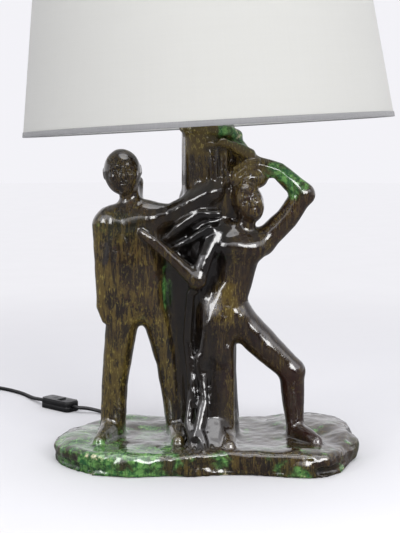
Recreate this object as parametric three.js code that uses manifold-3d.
// A table lamp. A glazed stoneware group stands on a rocky plinth: a man, a woman and a tree trunk
// between them.
// The trunk is hollow and carries the lampholder, the bulb and a large cone shade, all slightly out of plumb.
// Millimetres, +Z up, +Y to the back. The origin is on the table, under the centre of the shade's lower ring.
import * as THREE from "three";
import { mergeVertices } from "three/addons/utils/BufferGeometryUtils.js";
import Module from "manifold-3d";

const wasm = await Module();
wasm.setup();

// ---- Driving dimensions ----------------------------------------------------

const GAP = 0.3; // clearance kept between pieces that touch
const OVERSIZE = 600; // a cutting block larger than the clay

// Seat of the fittings on the trunk, and their lean to the left in degrees.
const STEM = { top: 463, lean: 3.3 };
const PLINTH = { height: 31, edge: 9, rim: 17, roof: 12 };
const BORE = { radius: 24, y: 3, neck: 5.7, crown: 14 }; // the trunk's hollow and the clay left above it
const CLAY_CELL = 12; // size of the grid cell that the clay surface is sampled on
const PROBE = 0.2; // step for the slope of the clay's distance field
const FAR = 1000; // distance of a point that no clay is near

const SHADE = { bottom: 250, top: 200, height: 350, drop: 3, skin: 1 };
const SHADE_SLOPE = (SHADE.bottom - SHADE.top) / SHADE.height;
const RING_WIRE = 1.5;
const STRUT_WIRE = 1.2;
const STRUTS = 6;
const HOOP_SEGMENTS = 48;
const HUB = { inner: 20.5, outer: 29, low: 40.8, thick: 1.5 };
const HEM = { height: 6.5, thick: 0.5, depth: 5.6 };

const NIPPLE = { outer: 5, inner: 3.5, low: -26, high: 16 };
const BOLT_BORE = 5.3;
const HOLDER = { radius: 19.6, wall: 2.4, shoulder: 22 };
const BULB = { radius: 30, centre: 110, glass: 0.9, capRadius: 13.2, capLow: 42.3, capHigh: 63 };

const FLEX = 3; // radius of the round flex
const CORE = 1.1; // radius of one insulated core
// The flex's way out through the plinth's back: a line, the hole on it, and the flat spot for its bush.
const EXIT = { from: [0, 3], to: [-45, 86], z: 9, hole: 5.9, spot: 8.7, face: 95.2, reach: 98.3 };

const SWITCH = { x: -242.5, y: 270, turn: -39.3, length: 65, width: 28, split: 8, high: 17, wall: 1.8 };
const ROCKER = { length: 18, width: 11, pivot: 13, throw: 16, top: 18.2, pin: 1 };
const COIL = { x: -417, y: 393, inner: 27, outer: 39, layers: 2, start: 58, end: 180 };
const PLUG = { x: -457.5, tail: 345, z: 7, relief: 14, body: 35, pinReach: 19, pinSpread: 9.3, pin: 2 };

// ---- Materials -------------------------------------------------------------

function finish(color, roughness, metalness = 0) {
  return new THREE.MeshStandardMaterial({ color, roughness, metalness });
}

const glaze = finish(0x2c2618, 0.15);
const brass = finish(0xb08d4a, 0.35, 1);
const zinc = finish(0xa9abad, 0.4, 1);
const bakelite = finish(0x16161a, 0.4);
const porcelain = finish(0xeeeae0, 0.3);
const clearGlass = finish(0xf4f6f6, 0.05);
clearGlass.opacity = 0.35;
clearGlass.transparent = true;
const shadeFabric = finish(0xd6d5cc, 0.9);
const hemFabric = finish(0x9d9c9c, 0.85);
const whiteWire = finish(0xe4e4e2, 0.45);
const rubber = finish(0x1b1b1d, 0.7);
const blackPlastic = finish(0x131315, 0.45);
const filament = finish(0xe0b04a, 0.5);
const blueCore = finish(0x2c5fa8, 0.5);
const brownCore = finish(0x5e3a22, 0.5);

// ---- Solids: three.js geometry to manifold-3d and back ----------------------

function positionsOnly(geometry) {
  const bare = new THREE.BufferGeometry();
  bare.setAttribute("position", geometry.getAttribute("position"));
  bare.setIndex(geometry.getIndex());
  return mergeVertices(bare, 1e-3);
}

function solid(geometry) {
  const merged = positionsOnly(geometry);
  return new wasm.Manifold(
    new wasm.Mesh({
      numProp: 3,
      vertProperties: merged.getAttribute("position").array,
      triVerts: new Uint32Array(merged.getIndex().array),
    }),
  );
}

function geometryOf(body) {
  const mesh = body.getMesh();
  const points = new Float32Array(mesh.numVert * 3);
  for (let i = 0; i < mesh.numVert; i++) {
    points.set(mesh.vertProperties.subarray(i * mesh.numProp, i * mesh.numProp + 3), i * 3);
  }
  const geometry = new THREE.BufferGeometry();
  geometry.setAttribute("position", new THREE.BufferAttribute(points, 3));
  geometry.setIndex(new THREE.BufferAttribute(new Uint32Array(mesh.triVerts), 1));
  geometry.computeVertexNormals();
  return geometry;
}

// ---- Plain shapes ----------------------------------------------------------

// A body turned about +Z from a closed profile of [radius, height] points, listed anticlockwise.
function turned(profile, segments = 24) {
  const points = profile.map(([r, z]) => new THREE.Vector2(r, z));
  points.push(points[0].clone());
  return new THREE.LatheGeometry(points, segments).rotateX(Math.PI / 2);
}

// A body turned about +Z from a profile that starts and ends on the axis.
function capped(profile, segments) {
  const points = profile.map(([r, z]) => new THREE.Vector2(r, z));
  return new THREE.LatheGeometry(points, segments).rotateX(Math.PI / 2);
}

function washer(inner, outer, low, high, segments = 24) {
  const profile = [[inner, low], [outer, low], [outer, high], [inner, high]];
  return turned(profile, segments);
}

function rod(radius, low, high, segments = 12) {
  const profile = [[0, low], [radius, low], [radius, high], [0, high]];
  return capped(profile, segments);
}

function box(length, width, low, high, x = 0, y = 0) {
  return new THREE.BoxGeometry(length, width, high - low).translate(x, y, (low + high) / 2);
}

function hexNut(acrossFlats, bore, low, high) {
  const shape = new THREE.Shape();
  const corner = acrossFlats / Math.sqrt(3);
  for (let i = 0; i < 6; i++) {
    const angle = (i * Math.PI) / 3;
    const place = [corner * Math.cos(angle), corner * Math.sin(angle)];
    if (i) shape.lineTo(...place);
    else shape.moveTo(...place);
  }
  const hole = new THREE.Path();
  hole.absarc(0, 0, bore, 0, 2 * Math.PI, true);
  shape.holes.push(hole);
  const options = { depth: high - low, bevelEnabled: false, curveSegments: 12 };
  return new THREE.ExtrudeGeometry(shape, options).translate(0, 0, low);
}

// A round tube along points in space.
function tube(points, radius, sides = 8, steps = 2 * points.length) {
  const path = new THREE.CatmullRomCurve3(points.map((p) => new THREE.Vector3(...p)));
  const section = new THREE.Shape();
  for (let i = 0; i < sides; i++) {
    const angle = (2 * Math.PI * i) / sides;
    const place = [radius * Math.cos(angle), radius * Math.sin(angle)];
    if (i) section.lineTo(...place);
    else section.moveTo(...place);
  }
  return new THREE.ExtrudeGeometry(section, { steps, extrudePath: path, bevelEnabled: false });
}

function wireHoop(radius, wire, height) {
  return new THREE.TorusGeometry(radius, wire, 5, HOOP_SEGMENTS).translate(0, 0, height);
}

function outlinePrism(points, low, high) {
  const shape = new THREE.Shape(points.map(([x, y]) => new THREE.Vector2(x, y)));
  return new THREE.ExtrudeGeometry(shape, { depth: high - low, bevelEnabled: false }).translate(0, 0, low);
}

function roundedRectangle(length, width, corner) {
  const shape = new THREE.Shape();
  const x = length / 2 - corner;
  const y = width / 2 - corner;
  shape.absarc(x, y, corner, 0, Math.PI / 2);
  shape.absarc(-x, y, corner, Math.PI / 2, Math.PI);
  shape.absarc(-x, -y, corner, Math.PI, 1.5 * Math.PI);
  shape.absarc(x, -y, corner, 1.5 * Math.PI, 2 * Math.PI);
  return shape;
}

function pad(length, width, corner, low, high) {
  const options = { depth: high - low, bevelEnabled: false, curveSegments: 4 };
  return new THREE.ExtrudeGeometry(roundedRectangle(length, width, corner), options).translate(0, 0, low);
}

// ---- Modelled clay: a distance field, sampled on a grid and skinned ---------

// A chain of round cones through [x, y, z, radius] points; depth is its thickness along Y over its width.
function limb(points, depth = 1) {
  const low = [0, 1, 2].map((i) => Math.min(...points.map((p) => p[i] - p[3])));
  const high = [0, 1, 2].map((i) => Math.max(...points.map((p) => p[i] + p[3])));
  function at(x, y, z) {
    let best = Infinity;
    for (let i = 1; i < points.length; i++) {
      const a = points[i - 1];
      const b = points[i];
      const d = [b[0] - a[0], (b[1] - a[1]) / depth, b[2] - a[2]];
      const q = [x - a[0], (y - a[1]) / depth, z - a[2]];
      const along = (q[0] * d[0] + q[1] * d[1] + q[2] * d[2]) / (d[0] ** 2 + d[1] ** 2 + d[2] ** 2);
      const t = Math.min(1, Math.max(0, along));
      const away = Math.hypot(q[0] - t * d[0], q[1] - t * d[1], q[2] - t * d[2]);
      best = Math.min(best, away - a[3] - t * (b[3] - a[3]));
    }
    return best * depth;
  }
  return { low, high, at };
}

// An ellipsoid; lean tips its top towards -X, in degrees.
function blob(centre, half, lean = 0) {
  const reach = Math.max(...half);
  const low = centre.map((v) => v - reach);
  const high = centre.map((v) => v + reach);
  const c = Math.cos(THREE.MathUtils.degToRad(lean));
  const s = Math.sin(THREE.MathUtils.degToRad(lean));
  function at(x, y, z) {
    const dx = x - centre[0];
    const dz = z - centre[2];
    const q = [c * dx + s * dz, y - centre[1], c * dz - s * dx];
    const near = Math.hypot(q[0] / half[0], q[1] / half[1], q[2] / half[2]);
    const slope = Math.hypot(q[0] / half[0] ** 2, q[1] / half[1] ** 2, q[2] / half[2] ** 2);
    return (near * (near - 1)) / Math.max(slope, 1e-9);
  }
  return { low, high, at };
}

// A flat-topped slab over an outline, with rounded edges.
function slab(outline, bottom, top, round) {
  const low = [Math.min(...outline.map((p) => p[0])), Math.min(...outline.map((p) => p[1])), bottom];
  const high = [Math.max(...outline.map((p) => p[0])), Math.max(...outline.map((p) => p[1])), top];
  function flat(x, y) {
    let nearest = Infinity;
    let inside = false;
    outline.forEach((a, i) => {
      const b = outline[(i + 1) % outline.length];
      const ex = b[0] - a[0];
      const ey = b[1] - a[1];
      const t = Math.min(1, Math.max(0, ((x - a[0]) * ex + (y - a[1]) * ey) / (ex * ex + ey * ey)));
      nearest = Math.min(nearest, Math.hypot(x - a[0] - t * ex, y - a[1] - t * ey));
      if (a[1] <= y !== b[1] <= y && x < a[0] + ((y - a[1]) * ex) / ey) inside = !inside;
    });
    return inside ? -nearest : nearest;
  }
  function at(x, y, z) {
    const side = flat(x, y) + round;
    const rise = Math.abs(z - (bottom + top) / 2) - (top - bottom) / 2 + round;
    return Math.min(Math.max(side, rise), 0) + Math.hypot(Math.max(side, 0), Math.max(rise, 0)) - round;
  }
  return { low, high, at };
}

function add(blend, shape) {
  return { blend, shape, cut: false };
}

function cut(blend, shape) {
  return { blend, shape, cut: true };
}

function smoothMin(a, b, blend) {
  const h = Math.max(blend - Math.abs(a - b), 0) / blend;
  return Math.min(a, b) - h * h * blend * 0.25;
}

function combine(value, step, distance) {
  if (step.cut) return -smoothMin(-value, distance, step.blend);
  return smoothMin(value, distance, step.blend);
}

function distanceAt(steps, p) {
  return steps.reduce((value, step) => combine(value, step, step.shape.at(...p)), FAR);
}

function sampleGrid(steps, low, high, cell) {
  const count = low.map((v, i) => Math.ceil((high[i] - v) / cell) + 1);
  const values = new Float32Array(count[0] * count[1] * count[2]).fill(FAR);
  for (const step of steps) {
    const margin = step.blend + 2.5 * cell;
    const first = low.map((v, i) =>
      Math.max(0, Math.floor((step.shape.low[i] - margin - v) / cell)),
    );
    const last = low.map((v, i) =>
      Math.min(count[i] - 1, Math.ceil((step.shape.high[i] + margin - v) / cell)),
    );
    for (let i = first[0]; i <= last[0]; i++) {
      for (let j = first[1]; j <= last[1]; j++) {
        for (let k = first[2]; k <= last[2]; k++) {
          const n = (i * count[1] + j) * count[2] + k;
          const distance = step.shape.at(low[0] + i * cell, low[1] + j * cell, low[2] + k * cell);
          values[n] = combine(values[n], step, distance);
        }
      }
    }
  }
  return { count, values };
}

// One vertex for each grid cell that the surface crosses, at the mean of its edge crossings.
function cellVertex(grid, i, j, k) {
  const { count, values } = grid;
  const value = (a, b, c) => values[((i + a) * count[1] + j + b) * count[2] + k + c];
  const sum = [0, 0, 0];
  let crossings = 0;
  for (let axis = 0; axis < 3; axis++) {
    for (let corner = 0; corner < 4; corner++) {
      const a = [0, 0, 0];
      a[(axis + 1) % 3] = corner & 1;
      a[(axis + 2) % 3] = corner >> 1;
      const b = [...a];
      b[axis] = 1;
      const va = value(...a);
      const vb = value(...b);
      if (va < 0 === vb < 0) continue;
      const at = [...a];
      at[axis] = va / (va - vb);
      at.forEach((v, n) => (sum[n] += v));
      crossings++;
    }
  }
  return crossings ? sum.map((v, n) => v / crossings + [i, j, k][n]) : null;
}

// Fills one corner of each grid face whose signs alternate, because the skin would meet itself there.
function fillDiagonals({ count, values }, cell) {
  const stride = [count[1] * count[2], count[2], 1];
  let changed = true;
  while (changed) {
    changed = false;
    for (let axis = 0; axis < 3; axis++) {
      const u = stride[(axis + 1) % 3];
      const v = stride[(axis + 2) % 3];
      for (let n = 0; n + u + v < values.length; n++) {
        const [a, b, c, d] = [n, n + u, n + u + v, n + v].map((m) => values[m] < 0);
        if (a !== c || b !== d || a === b) continue;
        const open = a ? [n + u, n + v] : [n, n + u + v];
        const nearest = values[open[0]] < values[open[1]] ? open[0] : open[1];
        values[nearest] = -0.05 * cell;
        changed = true;
      }
    }
  }
}

// Moves a point onto the surface along the field's slope, without leaving its own grid cell.
function settle(steps, point, corner, cell) {
  let p = [...point];
  for (let pass = 0; pass < 3; pass++) {
    const value = distanceAt(steps, p);
    const slope = [0, 1, 2].map((axis) => {
      const ahead = [...p];
      const behind = [...p];
      ahead[axis] += PROBE;
      behind[axis] -= PROBE;
      return (distanceAt(steps, ahead) - distanceAt(steps, behind)) / (2 * PROBE);
    });
    const steep = Math.max(slope[0] ** 2 + slope[1] ** 2 + slope[2] ** 2, 0.05);
    p = p.map((v, axis) => {
      const moved = v - (value * slope[axis]) / steep;
      return Math.min(corner[axis] + 0.97 * cell, Math.max(corner[axis] + 0.03 * cell, moved));
    });
  }
  return p;
}

function mould(steps, low, high, cell) {
  const grid = sampleGrid(steps, low, high, cell);
  fillDiagonals(grid, cell);
  const { count, values } = grid;
  const points = [];
  const vertexOf = new Map();
  const key = (i, j, k) => (i * count[1] + j) * count[2] + k;
  for (let i = 0; i < count[0] - 1; i++) {
    for (let j = 0; j < count[1] - 1; j++) {
      for (let k = 0; k < count[2] - 1; k++) {
        const found = cellVertex(grid, i, j, k);
        if (!found) continue;
        vertexOf.set(key(i, j, k), points.length / 3);
        const corner = [i, j, k].map((v, axis) => low[axis] + v * cell);
        const place = found.map((v, axis) => low[axis] + v * cell);
        points.push(...settle(steps, place, corner, cell));
      }
    }
  }
  const index = [];
  for (let axis = 0; axis < 3; axis++) {
    const u = (axis + 1) % 3;
    const v = (axis + 2) % 3;
    for (let i = 1; i < count[0] - 1; i++) {
      for (let j = 1; j < count[1] - 1; j++) {
        for (let k = 1; k < count[2] - 1; k++) {
          const here = [i, j, k];
          const next = [...here];
          next[axis]++;
          const inside = values[key(...here)] < 0;
          if (inside === values[key(...next)] < 0) continue;
          const around = [[1, 1], [0, 1], [0, 0], [1, 0]].map(([du, dv]) => {
            const at = [...here];
            at[u] -= du;
            at[v] -= dv;
            return vertexOf.get(key(...at));
          });
          const [a, b, c, d] = inside ? around : around.reverse();
          index.push(a, b, c, a, c, d);
        }
      }
    }
  }
  const geometry = new THREE.BufferGeometry();
  geometry.setAttribute("position", new THREE.BufferAttribute(new Float32Array(points), 3));
  geometry.setIndex(index);
  return geometry;
}

// ---- The clay group --------------------------------------------------------

const PLINTH_OUTLINE = [
  [-212, -20], [-199, -54], [-178, -78], [-154, -94], [-101, -104], [-47, -97], [-22, -101], [18, -93],
  [60, -93], [104, -103], [135, -107], [160, -102], [178, -82], [188, -56], [203, -20], [208, 32],
  [199, 84], [188, 114], [160, 125], [112, 126], [75, 108], [40, 98], [-30, 84], [-95, 88],
  [-128, 94], [-160, 90], [-180, 70], [-197, 42], [-210, 12],
];

function plinthSteps() {
  return [
    add(1, slab(PLINTH_OUTLINE, -30, PLINTH.height, PLINTH.edge)),
    add(14, blob([-60, 60, 26], [70, 30, 9])),
    add(12, blob([150, 60, 28], [52, 45, 9])),
    add(10, blob([187, -10, 20], [20, 40, 14])),
    add(8, blob([128, -88, 18], [34, 18, 15])),
    add(8, blob([-182, -14, 20], [26, 38, 14])),
    add(8, blob([-122, 78, 24], [34, 16, 12])),
  ];
}

const TRUNK = [[2, 5, 20, 43], [1, 5, 120, 39], [0, 5, 300, 38], [0, 3, 380, 35], [-1, 1, 475, 35.5]];

function trunkSteps() {
  return [
    add(8, limb(TRUNK, 0.92)),
    add(10, limb([[4, -20, 170, 20], [6, -34, 60, 22], [8, -60, 26, 22]])),
    add(10, limb([[-4, -60, 22, 12], [-14, -74, 20, 9]])),
    add(10, limb([[-30, 6, 358, 10], [-40, 6, 300, 26], [-36, 6, 200, 24], [-24, 8, 90, 22]], 0.8)),
    add(6, limb([[7, -26, 432, 8], [9, -27, 392, 8]])),
    add(5, limb([[21, -22, 430, 7], [22, -24, 392, 7]])),
    add(7, limb([[26, -6, 448, 13], [40, -8, 432, 13], [54, -12, 412, 13]])),
    add(10, blob([36, -2, 370], [24, 24, 46])),
  ];
}

function manSteps() {
  return [
    add(6, limb([[-134, 8, 36, 18], [-131, 6, 100, 18], [-124, 4, 160, 21], [-117, 3, 205, 24]])),
    add(6, limb([[-43, 6, 32, 15], [-47, 6, 77, 16], [-55, 5, 134, 17.5], [-67, 4, 188, 21],
      [-80, 3, 215, 24]])),
    add(8, blob([-104, 3, 262], [48, 31, 76])),
    add(10, limb([[-122, 3, 325, 27], [-124, 3, 218, 24]])),
    add(10, limb([[-88, 3, 325, 27], [-84, 3, 218, 24]])),
    add(12, limb([[-137, 4, 332, 19], [-90, 3, 338, 22]])),
    add(6, limb([[-144, 0, 327, 15], [-145, -2, 260, 11], [-144, -5, 215, 10], [-141, -8, 196, 6]])),
    cut(5, limb([[-131, -27, 300, 2.5], [-133, -24, 215, 3]])),
    add(10, limb([[-106, 4, 338, 17], [-108, 2, 376, 13]])),
    add(5, blob([-117, -4, 400], [25.5, 29, 30.5], 6)),
    add(6, limb([[-100, 12, 348, 9], [-97, 14, 385, 8]])),
    add(9, limb([[-78, 2, 336, 22], [-50, -8, 341, 15.5], [-25, -20, 356, 14.5], [2, -30, 371, 13]])),
    add(6, blob([8, -31, 375], [13, 9, 12], -20)),
    add(6, limb([[-136, 2, 40, 15], [-146, -36, 37, 10], [-149, -50, 35, 8]])),
    add(6, limb([[-42, 0, 38, 14], [-41, -38, 36, 11], [-41, -50, 35, 9]])),
  ];
}

function womanSteps() {
  return [
    add(10, limb([[18, -20, 205, 27], [36, -20, 250, 24], [44, -20, 296, 28]], 0.85)),
    add(10, blob([24, -18, 200], [36, 26, 32])),
    add(8, limb([[20, -18, 318, 17], [72, -16, 304, 18]], 0.95)),
    add(6, blob([30, -38, 298], [17, 13, 15])),
    add(6, blob([61, -36, 294], [16, 13, 15])),
    add(8, limb([[48, -20, 322, 12], [56, -24, 342, 12]])),
    add(5, blob([54, -27, 361], [20, 22, 27], 20)),
    add(7, limb([[78, -16, 305, 15], [106, -16, 335, 14], [129, -14, 368, 14.5]], 0.95)),
    add(6, limb([[130, -14, 370, 15], [96, -14, 401, 11.5], [66, -14, 409, 12]], 0.95)),
    add(6, limb([[66, -20, 410, 12], [42, -28, 404, 8]])),
    add(7, blob([50, -12, 390], [25, 20, 14], -8)),
    add(6, limb([[10, -26, 316, 13], [-4, -40, 285, 11], [-15, -46, 256, 12]])),
    add(5, limb([[-15, -46, 256, 12], [-46, -40, 284, 10], [-84, -27, 313, 7]])),
    add(9, limb([[14, -18, 195, 24], [18, -18, 160, 20], [22, -18, 130, 16], [27, -18, 98, 13.5],
      [31, -18, 70, 11.5], [34, -18, 38, 11]])),
    add(9, limb([[42, -18, 198, 23], [82, -20, 158, 21], [115, -22, 128, 17]])),
    add(8, limb([[116, -22, 124, 17], [117, -16, 100, 16], [119, -10, 80, 15.5], [121, -6, 60, 13.5],
      [123, -4, 34, 12]])),
    add(6, limb([[34, -20, 40, 12], [34, -46, 37, 10], [34, -56, 35, 8]])),
    add(6, limb([[124, -8, 40, 12], [138, -34, 38, 10], [148, -50, 35, 8]])),
  ];
}

// The outline moved inwards by a distance, each corner along the mean of its two edges' inward normals.
function inset(outline, distance) {
  const normal = (a, b) => {
    const length = Math.hypot(b[0] - a[0], b[1] - a[1]);
    return [(a[1] - b[1]) / length, (b[0] - a[0]) / length];
  };
  return outline.map((p, i) => {
    const before = normal(outline[(i + outline.length - 1) % outline.length], p);
    const after = normal(p, outline[(i + 1) % outline.length]);
    const mean = [before[0] + after[0], before[1] + after[1]];
    const scale = (2 * distance) / (mean[0] ** 2 + mean[1] ** 2);
    return [p[0] + mean[0] * scale, p[1] + mean[1] * scale];
  });
}

// Places a geometry built about +Z on the leaning line of the fittings.
function leaning(geometry) {
  return geometry.rotateY(-THREE.MathUtils.degToRad(STEM.lean)).translate(0, 0, STEM.top);
}

// Turns a geometry built along +Z onto the line that the flex takes out of the plinth.
function alongExit(geometry) {
  const direction = exitDirection();
  const upright = new THREE.Vector3(0, 0, 1);
  geometry.applyQuaternion(new THREE.Quaternion().setFromUnitVectors(upright, direction));
  return geometry.translate(EXIT.from[0], EXIT.from[1], EXIT.z);
}

function exitDirection() {
  const way = [EXIT.to[0] - EXIT.from[0], EXIT.to[1] - EXIT.from[1]];
  return new THREE.Vector3(way[0], way[1], 0).normalize();
}

// An ellipsoid with a round channel that runs from under the plinth up into it.
function figureHollow(centre, half, channels) {
  const chamber = new THREE.SphereGeometry(1, 16, 12).scale(...half).translate(...centre);
  return channels.reduce(
    (hollow, { points, radius }) => hollow.add(solid(tube(points, radius, 8, points.length))),
    solid(chamber),
  );
}

function manHollow() {
  const left = [[-134, 8, 10], [-131, 6, 100], [-124, 4, 160], [-112, 3, 235]];
  const right = [[-43, 6, 10], [-47, 6, 77], [-55, 5, 134], [-67, 4, 188], [-90, 3, 240]];
  const channels = [
    { points: left, radius: 8 },
    { points: right, radius: 7 },
  ];
  return figureHollow([-104, 3, 262], [30, 16, 58], channels);
}

function womanHollow() {
  const standing = [
    [34, -18, 10], [31, -18, 70], [28, -19, 98], [26, -20, 130], [27, -21, 170], [34, -20, 225],
  ];
  return figureHollow([38, -20, 255], [13, 10, 42], [{ points: standing, radius: 4.5 }]);
}

// The trunk's straight hollow, its leaning upper end, and the neck that the nipple passes through.
function trunkHollow() {
  const low = 5;
  const neckOverlap = 5;
  const upper = BORE.crown + 40;
  const high = STEM.top - BORE.crown - 16;
  return solid(rod(BORE.radius, low, high, 24).translate(0, BORE.y, 0))
    .add(solid(leaning(rod(BORE.radius - 6, -upper, -BORE.crown, 24))))
    .add(solid(leaning(rod(BORE.neck, -BORE.crown - neckOverlap, 10, 24))));
}

function ceramicSculpture() {
  const steps = [...plinthSteps(), ...trunkSteps(), ...manSteps(), ...womanSteps()];
  const skin = mould(steps, [-236, -148, -44], [236, 156, 520], CLAY_CELL);
  const hollowRoof = PLINTH.height - PLINTH.roof;
  const outside = PLINTH.height + 100;
  return geometryOf(
    solid(skin)
      .subtract(solid(box(OVERSIZE, OVERSIZE, -OVERSIZE, 0)))
      .subtract(solid(leaning(box(200, 200, 0, OVERSIZE))))
      .subtract(solid(outlinePrism(inset(PLINTH_OUTLINE, PLINTH.rim), -10, hollowRoof)))
      .subtract(trunkHollow())
      .subtract(manHollow())
      .subtract(womanHollow())
      .subtract(solid(alongExit(rod(EXIT.hole, EXIT.face - 35, outside, 16))))
      .subtract(solid(alongExit(rod(EXIT.spot, EXIT.face, outside, 20)))),
  );
}

// ---- Fittings on the trunk, along the leaning line from z = 0 on its top -----

function threadedNipple() {
  return washer(NIPPLE.inner, NIPPLE.outer, NIPPLE.low, NIPPLE.high, 24);
}

function holderCap() {
  const profile = [
    [BOLT_BORE, 5.9], [8, 5.9], [8, 12], [13, 13.5], [17.5, 17], [19.3, 22], [19.3, 31], [17.7, 31],
    [17.7, 22.8], [16.2, 18.2], [12.4, 15.2], [BOLT_BORE, 15.2],
  ];
  return turned(profile);
}

function holderSleeve() {
  const inner = HOLDER.radius - HOLDER.wall;
  const profile = [
    [inner, 31.3], [HOLDER.shoulder, 31.3], [HOLDER.shoulder, 33.8], [HOLDER.radius, 34.6],
    [HOLDER.radius, 66], [inner, 66],
  ];
  return turned(profile, 28);
}

function holderCore() {
  const profile = [[3, 24], [16.5, 24], [16.5, 34], [13, 34], [13, 32], [3, 32]];
  return turned(profile);
}

function holderScrewShell() {
  const profile = [[13.6, 34.3], [15.8, 34.3], [15.8, 34.9], [14.2, 34.9], [14.2, 61], [13.6, 61]];
  return turned(profile);
}

function holderCentreContact() {
  const profile = [[0, 24], [2, 24], [2, 33.5], [4.5, 33.5], [4.5, 35.6], [0, 35.6]];
  return capped(profile, 16);
}

function terminalScrew(side) {
  return rod(2.6, 20.5, 23.7, 12).translate(side * 9, 0, 0);
}

function coreWire(side) {
  const points = [[side * 1.6, 0, 18.9], [side * 2.2, 0, 20.3], [side * 3.8, 0, 21.7], [side * 6, 0, 22.1]];
  return tube(points, CORE, 8, 6);
}

function clampRing(low, high) {
  return washer(HOLDER.radius + GAP, HUB.outer - 1, low, high, 32);
}

// ---- Bulb ------------------------------------------------------------------

// The outside of the glass as [radius, height] points: the neck, then the ball.
function bulbOutline() {
  const outline = [[12.2, 56], [12.2, 64], [13.4, 70], [16.6, 78], [20.6, 86]];
  for (let degrees = -40; degrees <= 80; degrees += 20) {
    const angle = THREE.MathUtils.degToRad(degrees);
    outline.push([BULB.radius * Math.cos(angle), BULB.centre + BULB.radius * Math.sin(angle)]);
  }
  outline.push([0, BULB.centre + BULB.radius]);
  return outline;
}

function bulbGlass() {
  const outside = bulbOutline();
  const inside = outside.map(([r, z], i) => {
    const isTop = i === outside.length - 1;
    const outward = new THREE.Vector2(r, Math.max(z - BULB.centre, -20)).normalize();
    if (isTop) return [0, z - BULB.glass];
    return [r - BULB.glass * outward.x, z - BULB.glass * Math.max(outward.y, 0)];
  });
  const profile = [...outside, ...inside.reverse()].map(([r, z]) => new THREE.Vector2(r, z));
  profile.push(profile[0].clone());
  return new THREE.LatheGeometry(profile, 20).rotateX(Math.PI / 2);
}

function bulbCap() {
  const { capRadius, capLow, capHigh } = BULB;
  const profile = [
    [9.4, capLow], [capRadius - 1.6, capLow], [capRadius, capLow + 2.4], [capRadius, capHigh],
    [capRadius - 0.6, capHigh], [capRadius - 0.6, capLow + 2.7], [capRadius - 1.9, capLow + 0.6],
    [9.4, capLow + 0.6],
  ];
  return turned(profile);
}

function bulbCapInsulator() {
  const profile = [[0, 38.5], [5.2, 38.5], [9, 42], [9, 44], [0, 44]];
  return capped(profile, 20);
}

function bulbStem() {
  const profile = [[0, 58], [8.5, 58], [7, 62], [3.6, 69], [2.6, 78], [3, 92], [0, 92]];
  return capped(profile, 16);
}

function bulbFilament() {
  const points = [
    [6, 0, 84], [10, 0, 98], [12, 0, 112], [6, 6, 118], [0, 12, 112], [0, 9, 98], [0, 6.5, 88], [-4, 4, 84],
    [-7, 0, 90], [-10, 0, 102], [-11, -1, 113], [-6, -8, 118], [0, -12, 112], [0, -9, 98], [0, -6, 84],
  ];
  return tube(points, 0.8, 5, 36);
}

// ---- Shade, along the leaning line -----------------------------------------

function shadeRadius(height) {
  return SHADE.bottom - (height + SHADE.drop) * SHADE_SLOPE;
}

function shadeCover() {
  const low = 0.8 - SHADE.drop;
  const high = SHADE.height - SHADE.drop - 0.8;
  const profile = [
    [shadeRadius(low) - SHADE.skin, low], [shadeRadius(low), low],
    [shadeRadius(high), high], [shadeRadius(high) - SHADE.skin, high],
  ];
  return turned(profile, HOOP_SEGMENTS);
}

// A folded strip over the shade's edge: an outer leg, a bridge and an inner leg behind the ring.
function shadeHem(edge, upwards) {
  const reach = edge + upwards * HEM.height;
  const bridge = edge - upwards * HEM.thick;
  const outer = (z) => shadeRadius(z) + GAP + HEM.thick;
  const inner = (z) => shadeRadius(z) + GAP - HEM.depth;
  const profile = [
    [inner(bridge), bridge], [outer(bridge), bridge], [outer(reach), reach],
    [outer(reach) - HEM.thick, reach],
    [outer(edge) - HEM.thick, edge], [inner(edge) + HEM.thick, edge], [inner(reach) + HEM.thick, reach],
    [inner(reach), reach],
  ];
  return turned(upwards > 0 ? profile : profile.reverse(), HOOP_SEGMENTS);
}

const RING_INSET = SHADE.skin + GAP + RING_WIRE;
const LOWER_RING_HEIGHT = 2.6 - SHADE.drop;
const UPPER_RING_HEIGHT = SHADE.height - SHADE.drop - 2.6;

function shadeRing(height) {
  return wireHoop(shadeRadius(height) - RING_INSET, RING_WIRE, height);
}

function shadeStrut(angle) {
  const place = (height) => {
    const radius = shadeRadius(height) - SHADE.skin - GAP - STRUT_WIRE;
    return [radius * Math.cos(angle), radius * Math.sin(angle), height];
  };
  const low = LOWER_RING_HEIGHT + RING_WIRE + GAP;
  const high = UPPER_RING_HEIGHT - RING_WIRE - GAP;
  return tube([place(low), place((low + high) / 2), place(high)], STRUT_WIRE, 8, 2);
}

function shadeHub() {
  return washer(HUB.inner, HUB.outer, HUB.low, HUB.low + HUB.thick, 32);
}

function shadeArm(angle) {
  const foot = 7;
  const knee = 215;
  const reach = shadeRadius(foot) - SHADE.skin - 2 * STRUT_WIRE - 3 * GAP;
  const place = (radius, height) => [radius * Math.cos(angle), radius * Math.sin(angle), height];
  const rise = HUB.low + HUB.thick / 2;
  const points = [
    place(HUB.outer + GAP, rise), place(80, rise - 4), place(150, 26), place(knee, 11), place(reach, foot),
  ];
  return tube(points, RING_WIRE, 8, 12);
}

// ---- Flex, switch and plug -------------------------------------------------

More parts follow.
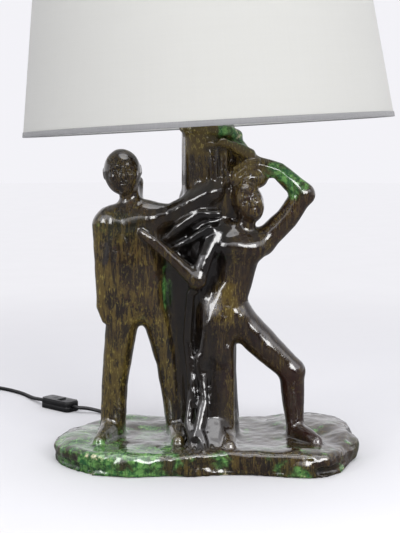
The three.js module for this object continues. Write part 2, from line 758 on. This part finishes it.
// From the lampholder down the trunk, round under it and out through the plinth's back.
function flexInside() {
  const lean = THREE.MathUtils.degToRad(STEM.lean);
  const onStem = (height) => [-Math.sin(lean) * height, 0, STEM.top + Math.cos(lean) * height];
  const way = exitDirection();
  const outwards = (distance, z) => [EXIT.from[0] + way.x * distance, EXIT.from[1] + way.y * distance, z];
  const points = [
    onStem(18), onStem(2), onStem(-14), onStem(-30), [1.4, 0.4, 405], [1, 1.2, 360], [0.5, 2, 300],
    [0, 2.4, 230], [0, 2.8, 160], [0, 3, 110], [0, 3, 70],
    outwards(0.4, 46), outwards(3, 31), outwards(9, 19.5), outwards(18, 12),
    outwards(30, EXIT.z), outwards(50, EXIT.z), outwards(74, EXIT.z), outwards(EXIT.reach, EXIT.z),
  ];
  return tube(points, FLEX, 8, 48);
}

function cableGrommet() {
  const profile = [
    [FLEX + GAP, 78], [5.4, 78], [5.4, 95.5], [8, 95.5], [8, 97], [6, 98], [FLEX + GAP, 98],
  ];
  return alongExit(turned(profile, 20));
}

const FLEX_TO_SWITCH = [
  [-47.2, 90, 9], [-52.5, 100, 8.7], [-58.5, 111, 7.4], [-65.5, 122, 5.4], [-74, 134, 3.8], [-84, 146, 3.2],
  [-96, 159, 3.1], [-110, 173, 3.1], [-126, 189, 3.1], [-143, 207, 3.1], [-158, 223, 3.1], [-172, 235, 4],
  [-186, 241, 6], [-198, 242, 7.8], [-208, 242, 8.4],
];

const FLEX_TO_COIL = [
  [-276.5, 298, 8.4], [-284, 308.5, 7], [-293, 323, 4.8], [-303, 340, 3.4], [-313, 356, 3.1], [-325, 371, 3.1],
  [-340, 386, 3.1], [-357, 400, 3.1],
];

const FLEX_TO_PLUG = [[-456.4, 361, 7.6], [-457.1, 353, 7.1], [-457.5, 345, 7], [-457.5, 326, 7]];

// A point on the straight run that meets the coil's outer turn at an angle, clear of the coil's own solid.
function coilTangent(degrees, side, z) {
  const angle = THREE.MathUtils.degToRad(degrees);
  const clear = side * (Math.sqrt((COIL.outer + 2 * FLEX + GAP) ** 2 - COIL.outer ** 2) + 1);
  const x = COIL.x + COIL.outer * Math.cos(angle) - clear * Math.sin(angle);
  const y = COIL.y + COIL.outer * Math.sin(angle) + clear * Math.cos(angle);
  return [x, y, z];
}

function switchDirection() {
  const turn = THREE.MathUtils.degToRad(SWITCH.turn);
  return [Math.cos(turn), Math.sin(turn)];
}

// A point on the switch's long middle line, at the height where the flex goes in.
function switchPoint(along) {
  const [x, y] = switchDirection();
  return [SWITCH.x + along * x, SWITCH.y + along * y, 8.5];
}

function flexToSwitch() {
  const clamp = SWITCH.length / 2 - 8;
  return tube([...FLEX_TO_SWITCH, switchPoint(SWITCH.length / 2 + 2), switchPoint(clamp)], FLEX, 8, 32);
}

function flexToCoil() {
  const clamp = 8 - SWITCH.length / 2;
  const entry = coilTangent(COIL.start, -1, 3.1);
  const mouth = -SWITCH.length / 2 - 2;
  return tube([switchPoint(clamp), switchPoint(mouth), ...FLEX_TO_COIL, entry], FLEX, 8, 24);
}

function flexCoil() {
  const high = 2 * FLEX * COIL.layers + 0.4;
  return washer(COIL.inner - FLEX, COIL.outer + FLEX, 0.1, high, 40).translate(COIL.x, COIL.y, 0);
}

function flexToPlug() {
  return tube([coilTangent(COIL.end, 1, 8.4), ...FLEX_TO_PLUG], FLEX, 8, 8);
}

// Pieces of the switch lie along +X from its centre, on the table.
function cordHoles() {
  return new THREE.CylinderGeometry(FLEX + GAP, FLEX + GAP, SWITCH.length + 4, 16)
    .rotateZ(Math.PI / 2)
    .translate(0, 0, 8.5);
}

function switchBase() {
  const { length, width, split, wall } = SWITCH;
  return geometryOf(
    solid(pad(length, width, 7, 0.2, split))
      .subtract(solid(pad(length - 2 * wall, width - 2 * wall, 5.5, 0.2 + wall, split + 1)))
      .subtract(solid(cordHoles())),
  );
}

function switchCover() {
  const { length, width, split, high, wall } = SWITCH;
  const outside = solid(pad(length, width, 7, split + GAP, high - 2)).add(
    solid(pad(length - 2.4, width - 2.4, 5.8, high - 3, high)),
  );
  return geometryOf(
    outside
      .subtract(solid(pad(length - 2 * wall, width - 2 * wall, 5.5, split - 1, high - wall)))
      .subtract(solid(box(ROCKER.length + 2.4, ROCKER.width + 1, high - 4, high + 2)))
      .subtract(solid(cordHoles())),
  );
}

// The rocker's side view, extruded over its width: two facets on top and a boss round its pin.
function switchRocker() {
  const half = ROCKER.length / 2;
  const shape = new THREE.Shape();
  shape.moveTo(-half, ROCKER.top);
  shape.lineTo(-half, ROCKER.top - 4);
  shape.lineTo(-3, ROCKER.pivot - 2.6);
  shape.lineTo(3, ROCKER.pivot - 2.6);
  shape.lineTo(half, ROCKER.top - 4);
  shape.lineTo(half, ROCKER.top);
  shape.lineTo(0, ROCKER.top - 0.9);
  const hole = new THREE.Path();
  hole.absarc(0, ROCKER.pivot, ROCKER.pin + 0.08, 0, 2 * Math.PI, true);
  shape.holes.push(hole);
  const options = { depth: ROCKER.width, bevelEnabled: false, curveSegments: 12 };
  return new THREE.ExtrudeGeometry(shape, options)
    .rotateX(Math.PI / 2)
    .translate(0, ROCKER.width / 2, 0)
    .translate(0, 0, -ROCKER.pivot)
    .rotateY(-THREE.MathUtils.degToRad(ROCKER.throw / 2))
    .translate(0, 0, ROCKER.pivot);
}

function switchBridge() {
  return box(4, 6, -4.6, -3.8, 6, 0)
    .rotateY(-THREE.MathUtils.degToRad(ROCKER.throw / 2))
    .translate(0, 0, ROCKER.pivot);
}

function switchPin() {
  const span = SWITCH.width - 2 * SWITCH.wall - 2 * GAP;
  return new THREE.CylinderGeometry(ROCKER.pin, ROCKER.pin, span, 12).translate(0, 0, ROCKER.pivot);
}

function switchContact(side) {
  return box(9, 2.4, 5.4, 6.2, 8, side * 2);
}

function switchCore() {
  const span = SWITCH.length / 2 - 9.5;
  const points = [
    [-span, 0, 8.5], [-span + 5, -4, 6], [-8, -9, 4], [8, -9, 4], [span - 5, -4, 6], [span, 0, 8.5],
  ];
  return tube(points, CORE, 6, 14);
}

function plugBody() {
  const tail = PLUG.relief + PLUG.body;
  const body = new THREE.ExtrudeGeometry(roundedRectangle(26, 13.6, 6.5), {
    depth: PLUG.body,
    bevelEnabled: false,
    curveSegments: 5,
  });
  const taper = body.getAttribute("position");
  for (let i = 0; i < taper.count; i++) {
    const atTail = taper.getZ(i) > PLUG.body / 2;
    taper.setX(i, taper.getX(i) * (atTail ? 0.55 : 1));
    taper.setY(i, taper.getY(i) * (atTail ? 0.85 : 1));
  }
  const low = PLUG.body - 4;
  const relief = turned([[FLEX + GAP, low], [5.2, low], [4.1, tail], [FLEX + GAP, tail]], 16);
  const socket = rod(FLEX + GAP, PLUG.body - 6, tail + 1, 16);
  const pinHoles = [-1, 1].map((side) => {
    return rod(PLUG.pin + GAP, -1, 12, 16).translate(side * PLUG.pinSpread, 0, 0);
  });
  return geometryOf(
    solid(body)
      .subtract(solid(socket))
      .add(solid(relief))
      .subtract(solid(pinHoles[0]))
      .subtract(solid(pinHoles[1])),
  );
}

function plugPin(side) {
  return rod(PLUG.pin, -PLUG.pinReach, 11.5, 16).translate(side * PLUG.pinSpread, 0, 0);
}

// ---- Assembly --------------------------------------------------------------

function named(name, geometry, material) {
  const mesh = new THREE.Mesh(geometry, material);
  mesh.name = name;
  return mesh;
}

function stemGroup() {
  const group = new THREE.Group();
  group.position.z = STEM.top;
  group.rotation.y = -THREE.MathUtils.degToRad(STEM.lean);
  group.add(
    named("threaded_nipple", threadedNipple(), zinc),
    named("inner_washer", washer(BOLT_BORE, 15, -BORE.crown - 1.8, -BORE.crown - GAP), zinc),
    named("inner_nut", hexNut(17, BOLT_BORE, -BORE.crown - 6.6, -BORE.crown - 2.1), zinc),
    named("top_washer", washer(BOLT_BORE, 23, GAP, 1.8), brass),
    named("top_nut", hexNut(17, BOLT_BORE, 2.1, 5.6), brass),
    named("holder_cap", holderCap(), bakelite),
    named("holder_sleeve", holderSleeve(), bakelite),
    named("holder_core", holderCore(), porcelain),
    named("holder_screw_shell", holderScrewShell(), brass),
    named("holder_centre_contact", holderCentreContact(), brass),
    named("terminal_screw_left", terminalScrew(-1), brass),
    named("terminal_screw_right", terminalScrew(1), brass),
    named("core_wire_brown", coreWire(-1), brownCore),
    named("core_wire_blue", coreWire(1), blueCore),
    named("shade_seat_ring", clampRing(36, 40.5), bakelite),
    named("shade_clamp_ring", clampRing(42.6, 48.6), bakelite),
    named("bulb_glass", bulbGlass(), clearGlass),
    named("bulb_cap", bulbCap(), zinc),
    named("bulb_cap_insulator", bulbCapInsulator(), bakelite),
    named("bulb_contact", rod(4, 36, 38.2, 16), zinc),
    named("bulb_stem", bulbStem(), clearGlass),
    named("bulb_filament", bulbFilament(), filament),
  );
  return group;
}

function shadeGroup() {
  const group = new THREE.Group();
  group.position.z = STEM.top;
  group.rotation.y = -THREE.MathUtils.degToRad(STEM.lean);
  group.add(
    named("shade_cover", shadeCover(), shadeFabric),
    named("shade_hem_bottom", shadeHem(-SHADE.drop, 1), hemFabric),
    named("shade_hem_top", shadeHem(SHADE.height - SHADE.drop, -1), hemFabric),
    named("shade_ring_bottom", shadeRing(LOWER_RING_HEIGHT), whiteWire),
    named("shade_ring_top", shadeRing(UPPER_RING_HEIGHT), whiteWire),
    named("shade_hub", shadeHub(), whiteWire),
  );
  for (let i = 0; i < STRUTS; i++) {
    const angle = (2 * Math.PI * i) / STRUTS;
    group.add(named(`shade_strut_${i + 1}`, shadeStrut(angle), whiteWire));
    if (i % 2) group.add(named(`shade_arm_${(i + 1) / 2}`, shadeArm(angle), whiteWire));
  }
  return group;
}

function switchGroup() {
  const group = new THREE.Group();
  group.position.set(SWITCH.x, SWITCH.y, 0);
  group.rotation.z = THREE.MathUtils.degToRad(SWITCH.turn);
  group.add(
    named("switch_base", switchBase(), blackPlastic),
    named("switch_cover", switchCover(), blackPlastic),
    named("switch_rocker", switchRocker(), blackPlastic),
    named("switch_bridge", switchBridge(), brass),
    named("switch_pin", switchPin(), zinc),
    named("switch_contact_front", switchContact(-1), brass),
    named("switch_contact_back", switchContact(1), brass),
    named("switch_core", switchCore(), blueCore),
  );
  return group;
}

function plugGroup() {
  const group = new THREE.Group();
  group.position.set(PLUG.x, PLUG.tail - PLUG.relief - PLUG.body, PLUG.z);
  group.rotation.x = -Math.PI / 2;
  group.add(
    named("plug_body", plugBody(), blackPlastic),
    named("plug_pin_left", plugPin(-1), zinc),
    named("plug_pin_right", plugPin(1), zinc),
  );
  return group;
}

const lamp = new THREE.Group();
lamp.add(
  named("ceramic_sculpture", ceramicSculpture(), glaze),
  stemGroup(),
  shadeGroup(),
  named("flex_inside", flexInside(), rubber),
  named("cable_grommet", cableGrommet(), rubber),
  named("flex_to_switch", flexToSwitch(), rubber),
  switchGroup(),
  named("flex_to_coil", flexToCoil(), rubber),
  named("flex_coil", flexCoil(), rubber),
  named("flex_to_plug", flexToPlug(), rubber),
  plugGroup(),
);

export default lamp;
